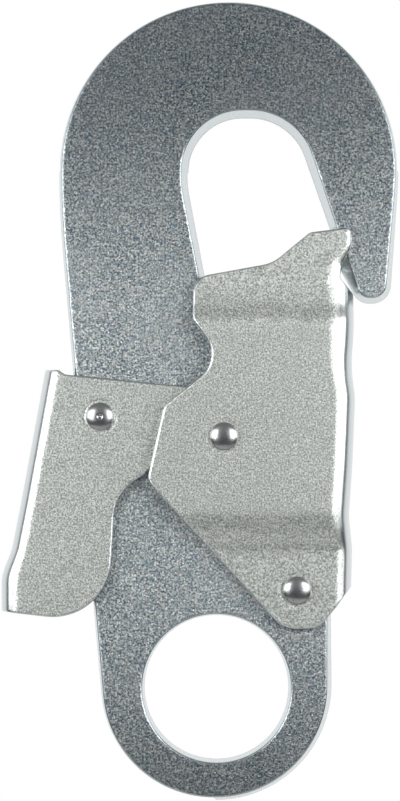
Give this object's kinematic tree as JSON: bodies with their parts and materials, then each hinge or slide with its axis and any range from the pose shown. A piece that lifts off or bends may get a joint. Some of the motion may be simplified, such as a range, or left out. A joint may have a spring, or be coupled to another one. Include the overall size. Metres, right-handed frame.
{
  "type": "double action snap hook",
  "caption": "Stamped steel double action snap hook: flat hook plate with an eye, a sprung folded gate and a squeeze lock lever, held by rivets.",
  "frame": {"origin": "saddle of the hook's throat at its front edge, in the middle of the plate's thickness; the anchor bears there", "axes": "+Z from the eye towards the hook, +X from the spine towards the gate, -Y out of the front face"},
  "size_m": [0.0649, 0.018, 0.1308],
  "materials": {
    "blasted_zinc": "blasted and zinc plated, bluish grey with bright specks",
    "satin_zinc": "fine satin zinc plating on pressed sheet",
    "bright_steel": "smooth polished steel",
    "spring_steel": "drawn spring wire"
  },
  "bodies": {
    "hook": {"hook_body": "blasted_zinc", "gate_spring": "spring_steel", "lever_spring": "spring_steel"},
    "gate": {"gate": "satin_zinc", "gate_pivot_rivet": "bright_steel", "gate_pivot_sleeve": "bright_steel", "locking_pin": "bright_steel", "locking_pin_sleeve": "bright_steel"},
    "lever": {"lock_lever": "satin_zinc", "lever_pivot_rivet": "bright_steel", "lever_pivot_sleeve": "bright_steel"}
  },
  "joints": [
    {"name": "gate_swing", "type": "hinge", "parent": "hook", "child": "gate", "pos_m": [0.0083, 0, -0.0782], "axis": [0, -1, 0], "range_deg": [0, 21], "stiffness_Nm_per_rad": 0.68, "springref_deg": -28.65, "deforming": ["gate_spring"]},
    {"name": "lever_squeeze", "type": "hinge", "parent": "hook", "child": "lever", "pos_m": [-0.0238, 0, -0.0499], "axis": [0, -1, 0], "range_deg": [0, 14.7], "stiffness_Nm_per_rad": 0.3, "springref_deg": -28.65, "deforming": ["lever_spring"]}
  ],
  "couplings": [
    {"joint": "lever_squeeze", "follows": "gate_swing", "ratio": 0.7}
  ]
}
